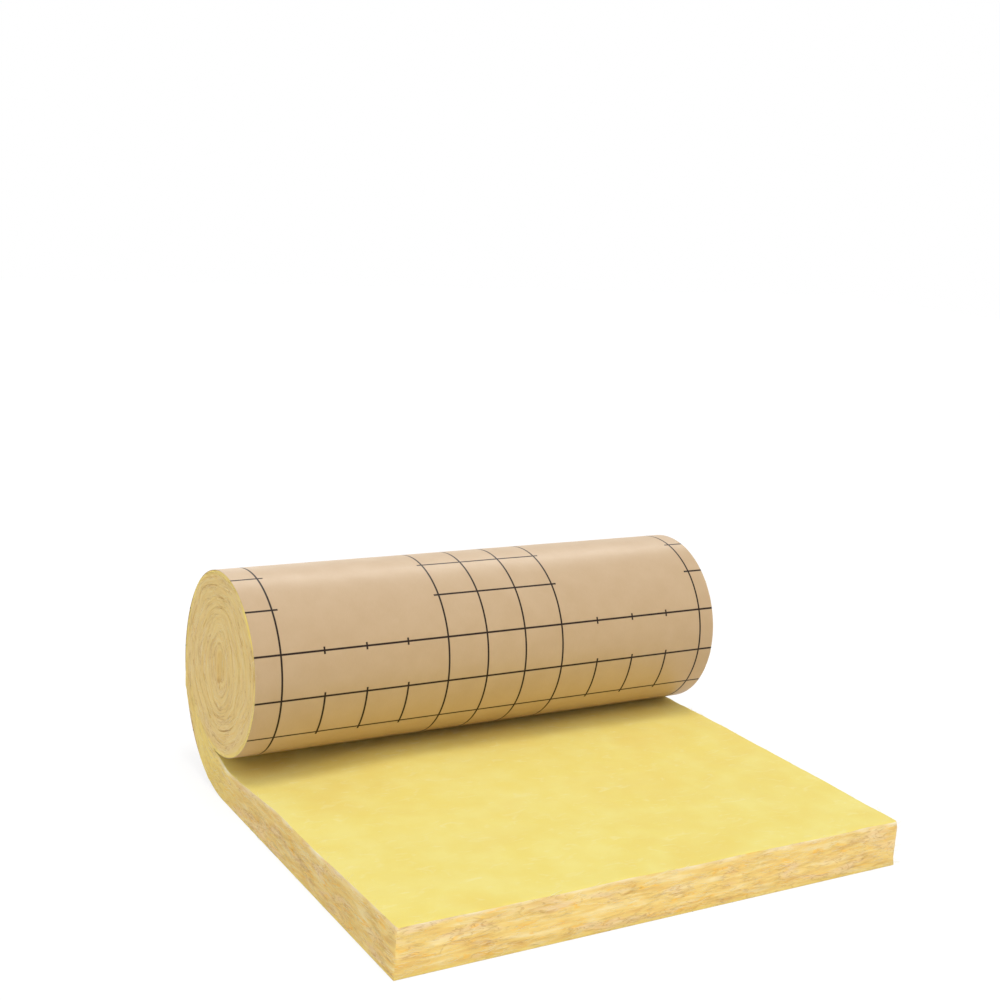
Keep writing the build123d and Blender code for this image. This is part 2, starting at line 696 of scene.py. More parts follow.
@dataclass
class PieceMesh:
    """Points and faces of one closed mesh, with the values that its finishes read at each point."""

    points: list[Vector] = field(default_factory=list)
    traits: list[dict[Trait, float]] = field(default_factory=list)
    fuzz: list[float] = field(default_factory=list)
    grain: list[Vector] = field(default_factory=list)
    faces: list[list[int]] = field(default_factory=list)
    kinds: list[WoolFace] = field(default_factory=list)
    layers: list[tuple[float, float]] = field(default_factory=list)

    def add_point(self, place: Vector, traits: dict[Trait, float], fuzz: float, grain: Vector) -> int:
        """Adds a point.

        Args:
            place: Where it is.
            traits: Its values for the cut finish, with 0 for those left out.
            fuzz: How many loose fibres stand there, as a share.
            grain: The direction in which the layers run there.

        Returns:
            The point's number.
        """
        self.points.append(place)
        self.traits.append(traits)
        self.fuzz.append(fuzz)
        self.grain.append(grain)
        return len(self.points) - 1

    def add_face(self, corners: Sequence[int], kind: WoolFace, layers: Sequence[tuple[float, float]]) -> None:
        """Adds a face.

        Args:
            corners: Numbers of its points, in order.
            kind: Its finish.
            layers: The place of each corner along and across the layers of wool.
        """
        self.faces.append(list(corners))
        self.kinds.append(kind)
        self.layers.extend(layers)

    def build(self, name: str, materials: Sequence[bpy.types.Material]) -> bpy.types.Object:
        """Makes the object.

        Args:
            name: Its name.
            materials: Its finishes, in the order of the face kinds.

        Returns:
            The object, linked to the scene.
        """
        mesh = bpy.data.meshes.new(name)
        mesh.from_pydata(self.points, [], self.faces)
        for material in materials:
            mesh.materials.append(material)
        mesh.polygons.foreach_set("material_index", self.kinds)
        layer_map = mesh.uv_layers.new(name=LAYER_MAP)
        layer_map.data.foreach_set("uv", [value for pair in self.layers for value in pair])
        for trait in Trait:
            values = mesh.attributes.new(trait.value, "FLOAT", "POINT")
            values.data.foreach_set("value", [traits.get(trait, 0.0) for traits in self.traits])
        mesh.attributes.new(FUZZ, "FLOAT", "POINT").data.foreach_set("value", self.fuzz)
        grain = mesh.attributes.new(GRAIN, "FLOAT_VECTOR", "POINT")
        grain.data.foreach_set("vector", [value for vector in self.grain for value in vector])
        mesh.shade_smooth()
        mesh.update()
        piece = bpy.data.objects.new(name, mesh)
        bpy.context.scene.collection.objects.link(piece)
        return piece


def quad(first: int, second: int, step: int = 1) -> list[tuple[int, int]]:
    """Gives the corners of a cell by their two numbers, in order round it."""
    return [(first, second), (first + 1, second), (first + 1, second + step), (first, second + step)]


@dataclass(eq=False)
class WoolBlanket:
    """The strip of glass wool: the laid length, and the winding with its turns open to view on both ends.

    A method that gives a point adds it to the mesh once, so that the faces beside it share it.
    """

    section: RollSection
    half_width: float
    face_finish: bpy.types.Material
    cut_finish: bpy.types.Material

    # Cells of the mesh, of which some are joined in one across the strip inside the roll
    cells_across: int = 40
    joined_cells: int = 2
    turns: int = 6
    laid_step: float = 7 * MM
    core_rings: int = 12
    sharp_angle: float = math.radians(70)

    # Upper face of the laid length, and how it stands off the roll at the left end
    swells: tuple[Ripples, ...] = (
        Ripples(150 * MM, 130 * MM, height=2.2 * MM, seed=3.1),
        Ripples(45 * MM, 38 * MM, height=0.9 * MM, seed=8.4),
        Ripples(17 * MM, 17 * MM, height=0.4 * MM, seed=1.7),
    )
    swell_run: float = 90 * MM
    stand_off: float = 22 * MM
    gap_width: float = 450 * MM
    gap_start: float = 40 * MM
    gap_run: float = 120 * MM
    gap_fall: float = 0.65
    gap_fall_start: float = 110 * MM
    gap_fall_run: float = 230 * MM
    gap_front_run: float = 420 * MM

    # Relief of the cuts: short wavy folds in torn patches, and tufts; the folds also get painted shade
    folds: Ripples = Ripples(46 * MM, 10 * MM)
    fold_breadth: float = 0.18
    torn: Ripples = Ripples(110 * MM, 30 * MM, height=1.6, seed=40.0)
    torn_share: float = 0.3
    tufts: tuple[Ripples, ...] = (
        Ripples(30 * MM, 9 * MM, height=1.0 * MM, seed=11.0),
        Ripples(170 * MM, 60 * MM, height=1.2 * MM, seed=23.0),
    )
    crease_depth: float = 1.7 * MM
    clean_edge: float = 16 * MM
    clean_share: float = 0.15
    end_seed: float = 4.0
    turn_seed: float = 0.37
    front_seed: float = 17.0

    # Worn edges, and the pale torn lip along the upper ones
    round_reach: float = 18 * MM
    round_depth: float = 5 * MM
    corner_share: float = 0.35
    upper_share: float = 0.5
    rim_share: float = 0.2
    lip_runs: Ripples = Ripples(80 * MM, 80 * MM, height=1.3)
    lip_cover: float = 0.4
    lip_reach: float = 9 * MM
    side_lip_seed: float = 6.0
    front_lip_seed: float = 19.0

    # Ends of the winding: warped turns in an upright oval, with open seams between them, which get painted
    # shade
    loose_run: int = 30  # stations
    warp: float = 11 * MM
    warps: tuple[Ripples, ...] = (Ripples(95 * MM, 95 * MM), Ripples(34 * MM, 34 * MM, height=0.4))
    warp_seeds: tuple[float, float] = (5.5, 9.5)
    oval_reach: float = 150 * MM
    oval_core: float = 45 * MM
    oval_narrow: float = 0.24
    oval_tall: float = 0.1
    end_swell: Ripples = Ripples(110 * MM, 110 * MM, height=3 * MM, seed=7.7)
    seams: Ripples = Ripples(60 * MM, 0.4, height=1.6, seed=12.0)  # breadth in turns
    seam_cover: float = 0.3
    seam_depth: float = 3.8 * MM
    press_start: float = 0.02  # turns
    press_run: float = 0.25  # turns
    loft_share: float = 0.25
    touch_rows: int = 12

    # Brighter yellow along the foot, the rim of the roll and the bend of the tail
    rim_cells: int = 3
    rim_taper: float = 2.2
    bend_rim: float = 0.75
    bend_run: float = 230 * MM
    bend_end: float = 0.21  # turns
    bend_fade: float = 0.12  # turns

    # Middle of the winding, which closes on an upright fold; the slot and the wave troughs get painted shade
    slot_half_height: float = 30 * MM
    slot_lean: float = 0.85
    slot_reach: float = 0.94
    slot_depth: float = 7 * MM
    slot_shade: float = 0.7
    core_waves: Ripples = Ripples(8 * MM, 45 * MM, height=1.0, seed=31.0)
    core_wave_depth: float = 1.8 * MM
    core_wave_shade: float = 0.8
    core_folds: Ripples = Ripples(25 * MM, 25 * MM, height=1.6, seed=27.0)
    core_fold_cover: float = 0.5
    core_fold_rings: int = 4

    # Shares of the loose fibres
    cut_fuzz: float = 1.0
    lip_fuzz: float = 0.4
    wound_fuzz: float = 0.35
    core_fuzz: float = 0.2

    # Map of the layers, on which each cut has a place of its own
    end_shift: float = 20.0
    front_shift: float = 10.0
    core_step: float = 1 * MM
    ring_step: float = 2 * MM

    mesh: PieceMesh = field(default_factory=PieceMesh)

    def __post_init__(self) -> None:
        """Counts the stations of the laid length and measures along the winding."""
        section = self.section
        self.touch = section.station(section.touch_station)
        self.middle = Vector((section.axis_y, section.axis_z - section.pitch / 4))
        self.rows = round((self.touch.x - section.front_y) / self.laid_step)
        self.columns = round(2 * self.half_width / self.laid_step)
        turn = section.stations
        numbers = range(self.turns * turn + 1)
        middles = [(section.station(number) + section.station(number + turn)) / 2 for number in numbers]
        self.travel = [0.0]
        for middle, after in zip(middles, middles[1:]):
            self.travel.append(self.travel[-1] + (after - middle).length)

    def top_height(self, x: float, y: float) -> float:
        """Gives the height of the laid length's upper face, which swells to its full loft.

        Args:
            x: Place along the roll.
            y: Place back from the front.

        Returns:
            The height above the floor.
        """
        section = self.section
        ahead = section.axis_y - y
        pressed = section.underside(y) - 2 * section.facing
        height = section.seat + (section.loft - section.seat) * smooth(ahead / section.recovery)
        if ahead < 0:
            height = pressed
        uneven = sum(swell.at(x, y) for swell in self.swells)
        height += uneven * smooth(ahead / self.swell_run) - self.gap(x, ahead)
        return min(height, pressed)

    def gap(self, x: float, ahead: float) -> float:
        """Gives how far the laid length stands off the roll near its left end, where it is pressed down.

        Args:
            x: Place along the roll.
            ahead: Distance in front of the roll's axis.

        Returns:
            The drop of the upper face.
        """
        at_left = smooth(1 - (x + self.half_width) / self.gap_width)
        behind = smooth((ahead + self.gap_start) / self.gap_run)
        fall = 1 - self.gap_fall * smooth((ahead - self.gap_fall_start) / self.gap_fall_run)
        to_front = smooth((self.section.axis_y - self.section.front_y - ahead) / self.gap_front_run)
        return self.stand_off * at_left * behind * fall * to_front

    def layer_relief(self, along: float, across: float, seed: float) -> tuple[float, float]:
        """Gives the relief of layers that were sawn across: tufts stand out and short wavy folds fall back.

        Args:
            along: Place along the layers.
            across: Place across the layers.
            seed: Number that sets this edge apart from the others.

        Returns:
            The height out of the cut in metres, and its fold depth as painted shade, from 0 to 1.
        """
        line = 1 - abs(self.folds.at(along, across, shift=seed)) / self.fold_breadth
        patch = smooth(self.torn_share + self.torn.at(along, across, shift=seed))
        fold = max(0.0, line) * patch
        height = sum(tuft.at(along, across, shift=seed) for tuft in self.tufts)
        return height - self.crease_depth * fold, fold

    def relief_share(self, *distances: float) -> float:
        """Gives the share of the relief at these distances from the edges, which the saw leaves clean."""
        return smooth(self.clean_share + min(distances) / self.clean_edge)

    def rounding(self, distance: float) -> float:
        """Gives how far the wool falls back at a distance from a worn edge."""
        return self.round_depth * max(0.0, 1 - distance / self.round_reach) ** 2

    def corner_rounding(self, distance: float, height: float) -> float:
        """Gives how far an upright corner falls back at a distance from it and a height above the floor."""
        return self.corner_share * self.rounding(distance) * smooth(height / self.round_reach)

    def layer_depth(self, cell: int, thickness: float) -> float:
        """Gives the place of a cell across the layers, which lie closer where the strip is pressed."""
        full = (1 - self.loft_share) * thickness + self.loft_share * self.section.loft
        return cell / self.cells_across * full

    def lip_share(self, along: float, depth: float, seed: float) -> float:
        """Gives how pale the torn upper edge is, at a depth below it, in broken runs along it."""
        run = smooth(self.lip_cover + self.lip_runs.at(along, 0.0, shift=seed))
        return run * max(0.0, 1 - depth / self.lip_reach)

    def foot_rim(self, cell: int) -> float:
        """Gives how yellow the wool is at its foot."""
        return max(0.0, 1 - cell / self.rim_cells)

    def wound_rim(self, number: int, share: float, pressed: float) -> float:
        """Gives how yellow the wool is at the rim of the roll and in the bend of the tail.

        Args:
            number: Station along the strip.
            share: Place across the strip, as a share from its facing side.
            pressed: How far the strip is pressed there, from 0 to 1.

        Returns:
            A value from 0 to 1.
        """
        if number >= self.section.touch_station:
            return 0.0
        bend = self.bend_rim * smooth((self.bend_end - number / self.section.stations) / self.bend_fade)
        return max(smooth(1 - share * self.rim_taper) * pressed, bend)

    def pressed_oval(self, place: Vector) -> Vector:
        """Presses the inner turns into an upright oval, as the middle of a roll folds in on itself.

        Args:
            place: Y and Z of a point of the turns, before they are pressed.

        Returns:
            The point's Y and Z in the oval.
        """
        away = place - self.middle
        part = smooth((self.oval_reach - away.length) / (self.oval_reach - self.oval_core))
        shares = (1 - self.oval_narrow * part, 1 + self.oval_tall * part)
        return self.middle + Vector((away.x * shares[0], away.y * shares[1]))

    @functools.cache
    def wound_point(self, side: Side, number: int, cell: int) -> int:
        """Gives a point on an end of the winding.

        Args:
            side: Which end.
            number: Station along the strip.
            cell: Place across the strip, counted from its facing side.

        Returns:
            The point's number in the mesh.
        """
        section = self.section
        stations = section.stations
        if cell == self.cells_across:
            return self.wound_point(side, number + stations, 0)
        share = cell / self.cells_across
        outer = section.station(number)
        inner = section.station(number + stations) if cell else outer
        place = outer.lerp(inner, share)
        tangent = section.station(number + 1) - outer
        thickness = (inner - outer).length if cell else section.pitch
        loose = smooth((number - section.touch_station) / self.loose_run)
        inside = share + (1 - share) * loose
        for warp in self.warps:
            drift = [warp.at(place.x, place.y, shift=seed * side) for seed in self.warp_seeds]
            place = place + self.warp * inside * Vector(drift)
        place = self.pressed_oval(place)
        travel = self.travel[min(number, len(self.travel) - 1)]
        pressed = smooth((number / stations - self.press_start) / self.press_run)
        seed = self.end_seed * side + self.turn_seed * (number // stations)
        height, fold = self.layer_relief(travel, self.layer_depth(cell, thickness), seed)
        height += self.end_swell.at(place.x, place.y, side)
        # open seams sink, and their depth goes to the finish as painted shade
        if cell == 0:
            seam = smooth(self.seam_cover + self.seams.at(travel, number / stations, side)) * loose
            height -= self.seam_depth * seam
            fold = max(fold * loose, seam)
        if cell == 0 and number < section.touch_station:
            height = -self.rim_share * self.round_depth
        rim = self.wound_rim(number, share, pressed)
        traits = {Trait.WOUND: pressed, Trait.RIM: rim, Trait.CREASE: fold}
        x = side * (self.half_width + height)
        grain = Vector((0.0, tangent.x, tangent.y)).normalized()
        fuzz = self.wound_fuzz if cell or loose else 0.0
        return self.mesh.add_point(Vector((x, place.x, place.y)), traits, fuzz, grain)

    def laid_ends(self, x: float, row: int) -> tuple[Vector, Vector]:
        """Gives the foot and the top of the laid length at a station, as its layers lean back under the roll.

        Args:
            x: Place along the roll.
            row: Station from the cut front edge.

        Returns:
            The Y and Z of the point at the facing and of the point on the upper face.
        """
        section = self.section
        share = row / self.rows
        foot = section.foot_line(share * section.foot_length, section.facing)
        if row == self.rows:
            return foot, self.touch
        y = section.front_y + (self.touch.x - section.front_y) * share
        return foot, Vector((y, self.top_height(x, y)))

    @functools.cache
    def laid_point(self, side: Side, row: int, cell: int) -> int:
        """Gives a point on a side of the laid length.

        Args:
            side: Which end of the roll it is under.
            row: Station from the cut front edge.
            cell: Place across the strip, counted from its facing side.

        Returns:
            The point's number in the mesh.
        """
        section = self.section
        if row == self.rows:
            return self.wound_point(side, section.tail_station, cell)
        share = cell / self.cells_across
        foot, top = self.laid_ends(side * self.half_width, row)
        place = foot.lerp(top, share)
        height, fold = self.layer_relief(*self.laid_layers(side, row, cell), self.end_seed * side)
        to_touch = 1 - smooth(1 - (self.rows - row) / self.touch_rows)
        clean = self.relief_share(top.y - place.y, place.y - foot.y, place.x - section.front_y)
        height *= to_touch * clean
        fold *= clean
        lip = self.lip_share(place.x, top.y - place.y, self.side_lip_seed * side)
        height -= self.corner_rounding(place.x - section.front_y, place.y)
        height -= self.upper_share * self.rounding(top.y - place.y) * to_touch
        y = place.x
        if row == 0:
            y -= self.front_relief(side * self.half_width, place.y, top.y)[0]
        x = side * (self.half_width + height)
        bend = self.bend_rim * smooth(1 - (self.rows - row) * self.laid_step / self.bend_run)
        traits = {Trait.CREASE: fold, Trait.LIP: lip, Trait.RIM: max(self.foot_rim(cell), bend)}
        fuzz = self.cut_fuzz if cell else 0.0
        return self.mesh.add_point(Vector((x, y, place.y)), traits, fuzz, ALONG_STRIP)

    def front_relief(self, x: float, z: float, top: float) -> tuple[float, float]:
        """Gives the relief of the cut front edge.

        Args:
            x: Place along the roll.
            z: Height above the floor.
            top: Height of the upper face there.

        Returns:
            The height forward of the cut's plane in metres, and its fold depth as painted shade, from 0 to 1.
        """
        height, fold = self.layer_relief(x, z, self.front_seed)
        corner = self.half_width - abs(x)
        clean = self.relief_share(top - z, z, corner)
        height = height * clean - self.corner_rounding(corner, z)
        return height - self.upper_share * self.rounding(top - z), fold * clean

    @functools.cache
    def top_point(self, column: int, row: int) -> int:
        """Gives a point on the laid length's upper face.

        Args:
            column: Place along the roll.
            row: Station from the cut front edge.

        Returns:
            The point's number in the mesh.
        """
        if column in (0, self.columns):
            return self.laid_point(Side.RIGHT if column else Side.LEFT, row, self.cells_across)
        x = self.half_width * (2 * column / self.columns - 1)
        y, z = self.laid_ends(x, row)[1]
        traits = {}
        fuzz = 0.0
        if row == 0:
            y -= self.front_relief(x, z, z)[0]
            z -= self.rim_share * self.round_depth
            traits = {Trait.LIP: self.lip_share(x, 0.0, self.front_lip_seed)}
            fuzz = self.lip_fuzz
        return self.mesh.add_point(Vector((x, y, z)), traits, fuzz, ALONG_ROLL)

    @functools.cache
    def front_point(self, column: int, cell: int) -> int:
        """Gives a point on the cut front edge.

        Args:
            column: Place along the roll.
            cell: Place up from the facing.

        Returns:
            The point's number in the mesh.
        """
        if column in (0, self.columns):
            return self.laid_point(Side.RIGHT if column else Side.LEFT, 0, cell)
        if cell == self.cells_across:
            return self.top_point(column, 0)
        x = self.half_width * (2 * column / self.columns - 1)
        foot, top = self.laid_ends(x, 0)
        z = foot.y + (top.y - foot.y) * cell / self.cells_across
        height, fold = self.front_relief(x, z, top.y)
        place = Vector((x, self.section.front_y - height, z))
        lip = self.lip_share(x, top.y - z, self.front_lip_seed)
        traits = {Trait.CREASE: fold, Trait.LIP: lip, Trait.RIM: self.foot_rim(cell)}
        fuzz = self.cut_fuzz if cell else 0.0
        return self.mesh.add_point(place, traits, fuzz, ALONG_ROLL)

    def wound_layers(self, side: Side, number: int, cell: int) -> tuple[float, float]:
        """Gives the place of a wound point along and across its layers.

        Args:
            side: Which end.
            number: Station along the strip.
            cell: Place across the strip, counted from its facing side.

        Returns:
            The place along and the place across, in metres.
        """
        section = self.section
        thickness = (section.station(number + section.stations) - section.station(number)).length
        return self.travel[number] + self.end_shift * (side + 1), self.layer_depth(cell, thickness)

    def laid_layers(self, side: Side, row: int, cell: int) -> tuple[float, float]:
        """Gives the place of a laid point along and across its layers.

        Args:
            side: Which end of the roll it is under.
            row: Station from the cut front edge.
            cell: Place across the strip, counted from its facing side.

        Returns:
            The place along and the place across, in metres.
        """
        section = self.section
        foot, top = self.laid_ends(side * self.half_width, row)
        length = (section.foot_length + self.touch.x - section.front_y) / 2
        along = self.travel[section.tail_station] - length * (1 - row / self.rows)
        return along + self.end_shift * (side + 1), self.layer_depth(cell, (top - foot).length)

    def add_end_face(self, side: Side, corners: list[int], layers: list[tuple[float, float]]) -> None:
        """Adds a face of an end, with its corners taken in the order that turns it outwards there."""
        self.mesh.add_face(corners[::side], WoolFace.CUT, layers[::side])

    def add_end(self, side: Side) -> None:
        """Adds the faces of one end: the side of the laid length, the turns and the core.

        Args:
            side: Which end.
        """
        section = self.section
        for row in range(self.rows):
            for cell in range(self.cells_across):
                corners = quad(row, cell)
                numbers = [self.laid_point(side, *corner) for corner in corners]
                self.add_end_face(side, numbers, [self.laid_layers(side, *corner) for corner in corners])
        for number in range(section.tail_station, self.turns * section.stations):
            step = 1 if number < section.stations else self.joined_cells
            for cell in range(0, self.cells_across, step):
                corners = quad(number, cell, step)
                if number == section.stations:
                    corners += [(number, between) for between in range(cell + step - 1, cell, -1)]
                numbers = [self.wound_point(side, *corner) for corner in corners]
                self.add_end_face(side, numbers, [self.wound_layers(side, *corner) for corner in corners])
        self.add_core(side)

    def core_point(self, side: Side, ring: int, place: Vector, on_turn: bool) -> int:
        """Adds a point in the middle of the winding.

        Args:
            side: Which end.
            ring: Ring that it is on, counted inwards.
            place: The point of the innermost turn that it lies inside of.
            on_turn: Whether that point is on the turn's own line, and not on the inner end of the strip.

        Returns:
            The point's number in the mesh.
        """
        share = ring / self.core_rings
        up = min(max(place.z - self.middle.y, -self.slot_half_height), self.slot_half_height)
        aim = Vector((place.x, self.middle.x, self.middle.y + up * self.slot_lean))
        spot = place.lerp(aim, self.slot_reach * share)
        wave = self.core_waves.at(spot.y, spot.z, side)
        loop_fold = 0.0
        if ring % self.core_fold_rings == 0 and on_turn:
            loop_fold = smooth(self.core_fold_cover + self.core_folds.at(spot.y, spot.z, side))
        closing = smooth(share * 2 - 1)
        inward = self.slot_depth * closing + self.core_wave_depth * wave * (1 - share)
        inward += self.crease_depth * loop_fold
        spot.x = place.x * (1 - share) + side * self.half_width * share - side * inward
        # the slot and the troughs of the waves get painted shade
        fold = self.slot_shade * closing + self.core_wave_shade * max(0.0, wave) * (1 - share)
        traits = {Trait.WOUND: 1.0, Trait.CREASE: min(max(fold, loop_fold), 1.0)}
        return self.mesh.add_point(spot, traits, self.core_fuzz, UPRIGHT)

    def add_core(self, side: Side) -> None:
        """Adds the middle of the winding, which closes on an upright fold.

        Args:
            side: Which end.
        """
        stations = self.section.stations
        last = self.turns * stations
        loop = [self.wound_point(side, number, 0) for number in range(last, last + stations)]
        strip_end = range(self.cells_across, 0, -self.joined_cells)
        loop += [self.wound_point(side, last, cell) for cell in strip_end]
        rim = [self.mesh.points[number] for number in loop]
        rings = [loop]
        for ring in range(1, self.core_rings + 1):
            rings.append(
                [self.core_point(side, ring, place, index < stations) for index, place in enumerate(rim)]
            )
        base = self.end_shift * (side + 1) + self.travel[-1]
        around = [base + index * self.core_step for index in range(len(loop) + 1)]
        for depth, (outer, inner) in enumerate(zip(rings, rings[1:])):
            near, far = depth * self.ring_step, (depth + 1) * self.ring_step
            for index in range(len(loop)):
                after = (index + 1) % len(loop)
                corners = [outer[index], outer[after], inner[after], inner[index]]
                start, end = around[index : index + 2]
                self.add_end_face(side, corners, [(start, near), (end, near), (end, far), (start, far)])
        deepest = self.core_rings * self.ring_step
        self.add_end_face(side, rings[-1], [(along, deepest) for along in around[:-1]])

    def add_faces_between(self) -> None:
        """Adds the upper face, the cut front edge and the side that the facing is bonded to."""
        mesh = self.mesh
        section = self.section
        for column in range(self.columns):
            for row in range(self.rows):
                numbers = [self.top_point(*corner) for corner in quad(column, row)]
                layers = [tuple(mesh.points[number].xy) for number in numbers]
                mesh.add_face(numbers, WoolFace.MATTED, layers)
            for cell in range(self.cells_across):
                numbers = [self.front_point(*corner) for corner in quad(column, cell)]
                places = [mesh.points[number] for number in numbers]
                layers = [(place.x + self.front_shift, place.z) for place in places]
                mesh.add_face(numbers, WoolFace.CUT, layers)
        front = [self.front_point(column, 0) for column in range(self.columns + 1)]
        touch = [self.top_point(column, self.rows) for column in range(self.columns + 1)]
        lines = [front]
        for row in range(1, self.rows):
            lines.append([self.laid_point(side, row, 0) for side in Side])
        for number in range(section.tail_station, section.touch_station):
            lines.append([self.wound_point(side, number, 0) for side in Side])
        lines.append(touch)
        for line, after in zip(lines, lines[1:]):
            corners = line[::-1] + after
            mesh.add_face(corners, WoolFace.MATTED, [tuple(mesh.points[corner].xy) for corner in corners])

    def build(self) -> bpy.types.Object:
        """Makes the closed mesh of the wool, with its faces turned outwards.

        Returns:
            The object, linked to the scene.
        """
        for side in Side:
            self.add_end(side)
        self.add_faces_between()
        piece = self.mesh.build("wool", (self.face_finish, self.cut_finish))
        piece.data.set_sharp_from_angle(angle=self.sharp_angle)
        return piece


def plain_mesh(piece: bpy.types.Object) -> None:
    """Turns the result of a piece's modifiers into its own plain mesh, and removes them.

    Args:
        piece: The object.
    """
    result = piece.evaluated_get(bpy.context.evaluated_depsgraph_get())
    mesh = bpy.data.meshes.new_from_object(result)
    piece.modifiers.clear()
    piece.data = mesh
    mesh.name = piece.name


def node_modifier(piece: bpy.types.Object, tree: bpy.types.NodeTree, values: Mapping[str, NodeValue]) -> None:
    """Adds a geometry node tree to a piece, with its inputs set by their identifiers.

    Args:
        piece: The object.
        tree: The node tree.
        values: A value for each named input of the tree.
    """
    modifier = piece.modifiers.new(tree.name, "NODES")
    modifier.node_group = tree
    for item in tree.interface.items_tree:
        if item.in_out == "INPUT" and item.name in values:
            modifier[item.identifier] = values[item.name]


def node_tree(name: str, sockets: Mapping[str, str]) -> tuple[bpy.types.NodeTree, bpy.types.Node]:
    """Starts a geometry node tree.

    Args:
        name: The tree's name.
        sockets: The kind of each named input.

    Returns:
        The tree and the node that gives its inputs.
    """
    tree = bpy.data.node_groups.new(name, "GeometryNodeTree")
    tree.interface.new_socket("Geometry", in_out="INPUT", socket_type="NodeSocketGeometry")
    for socket, kind in sockets.items():
        tree.interface.new_socket(socket, in_out="INPUT", socket_type=kind)
    tree.interface.new_socket("Geometry", in_out="OUTPUT", socket_type="NodeSocketGeometry")
    return tree, tree.nodes.new("NodeGroupInput")


@dataclass
class KraftFacing:
    """The sheet of kraft paper: along the floor, up the tail and over the roll to the nip in front."""

    section: RollSection
    width: float
    printed_finish: bpy.types.Material
    bare_finish: bpy.types.Material
    columns: int = 61
    rows: int = 340
    wave_height: float = 0.4 * MM
    wave_size: float = 130 * MM
    sharp_angle: float = math.radians(40)

    def sizes(self) -> dict[str, float]:
        """Gives the sizes that bend the sheet, by the names of the tree's inputs.

        Returns:
            A size for each named input.
        """
        section = self.section
        return {
            "Width": self.width,
            "Length": section.facing_length,
            "Front": section.front_y,
            "Floor Run": section.tail_y - section.front_y,
            "Tail Radius": section.tail_radius,
            "Tail Turn": section.tail_turn,
            "Roll Radius": section.roll_radius,
            "Wave Height": self.wave_height,
        }

    def bend_tree(self) -> bpy.types.NodeTree:
        """Builds the tree that bends a flat sheet along the floor, the tail and the round of the roll.

        Returns:
            The node tree.
        """
        sockets = {name: "NodeSocketFloat" for name in self.sizes()} | {"Finish": "NodeSocketMaterial"}
        tree, given = node_tree("bent_kraft_sheet", sockets)
        size = given.outputs
        cells = {"Vertices X": self.columns, "Vertices Y": self.rows}
        sides = {"Size X": size["Width"], "Size Y": size["Length"]}
        sheet = add_node(tree, "GeometryNodeMeshGrid", sides | cells)
        flat = add_node(tree, "ShaderNodeSeparateXYZ", [add_node(tree, "GeometryNodeInputPosition")])
        x = flat.outputs["X"]
        half_length = add_node(tree, "ShaderNodeMath", [size["Length"], 0.5], operation="MULTIPLY")
        run = add_node(tree, "ShaderNodeMath", [flat.outputs["Y"], half_length], operation="ADD")
        half_width = add_node(tree, "ShaderNodeMath", [size["Width"], 0.5], operation="MULTIPLY")
        across = add_node(tree, "ShaderNodeMath", [x, half_width], operation="ADD")
        on_sheet = add_node(tree, "ShaderNodeCombineXYZ", [across, run])

        on_floor = add_node(tree, "ShaderNodeMath", [run, size["Floor Run"]], operation="MINIMUM")
        past_floor = add_node(tree, "ShaderNodeMath", [run, on_floor], operation="SUBTRACT")
        tail_length = add_node(
            tree, "ShaderNodeMath", [size["Tail Radius"], size["Tail Turn"]], operation="MULTIPLY"
        )
        on_tail = add_node(tree, "ShaderNodeMath", [past_floor, tail_length], operation="MINIMUM")
        on_roll = add_node(tree, "ShaderNodeMath", [past_floor, on_tail], operation="SUBTRACT")
        tail_angle = add_node(tree, "ShaderNodeMath", [on_tail, size["Tail Radius"]], operation="DIVIDE")
        roll_angle = add_node(tree, "ShaderNodeMath", [on_roll, size["Roll Radius"]], operation="DIVIDE")
        angle = add_node(tree, "ShaderNodeMath", [tail_angle, roll_angle], operation="ADD")
        waves = add_node(
            tree, "ShaderNodeTexNoise", {"Vector": on_sheet, "Scale": 1 / self.wave_size, "Detail": 1.0}
        )
        raised = add_node(tree, "ShaderNodeMath", [waves, tail_angle], operation="MULTIPLY")
        wave = add_node(tree, "ShaderNodeMath", [raised, size["Wave Height"]], operation="MULTIPLY")
        coordinates = {}
        for name, ratio in (("back", "SINE"), ("up", "COSINE")):
            at_tail = add_node(tree, "ShaderNodeMath", [tail_angle], operation=ratio)
            at_end = add_node(tree, "ShaderNodeMath", [angle], operation=ratio)
            tail_part = add_node(tree, "ShaderNodeMath", [at_tail, size["Tail Radius"]], operation="MULTIPLY")
            change = add_node(tree, "ShaderNodeMath", [at_end, at_tail], operation="SUBTRACT")
            roll_part = add_node(tree, "ShaderNodeMath", [change, size["Roll Radius"]], operation="MULTIPLY")
            arcs = add_node(tree, "ShaderNodeMath", [tail_part, roll_part], operation="ADD")
            coordinates[name] = add_node(
                tree, "ShaderNodeMath", [at_end, wave, arcs], operation="MULTIPLY_ADD"
            )
        laid = add_node(tree, "ShaderNodeMath", [on_floor, size["Front"]], operation="ADD")
        y = add_node(tree, "ShaderNodeMath", [laid, coordinates["back"]], operation="ADD")
        z = add_node(tree, "ShaderNodeMath", [size["Tail Radius"], coordinates["up"]], operation="SUBTRACT")
        bent = add_node(tree, "ShaderNodeCombineXYZ", [x, y, z])
        mapped = add_node(
            tree,
            "GeometryNodeStoreNamedAttribute",
            {"Geometry": sheet, "Name": SHEET_MAP, "Value": on_sheet},
            data_type="FLOAT2",
            domain="CORNER",
        )
        placed = add_node(tree, "GeometryNodeSetPosition", {"Geometry": mapped, "Position": bent})
        real = add_node(tree, "GeometryNodeRealizeInstances", [placed])
        dressed = add_node(tree, "GeometryNodeSetMaterial", {"Geometry": real, "Material": size["Finish"]})
        add_node(tree, "NodeGroupOutput", [dressed])
        return tree

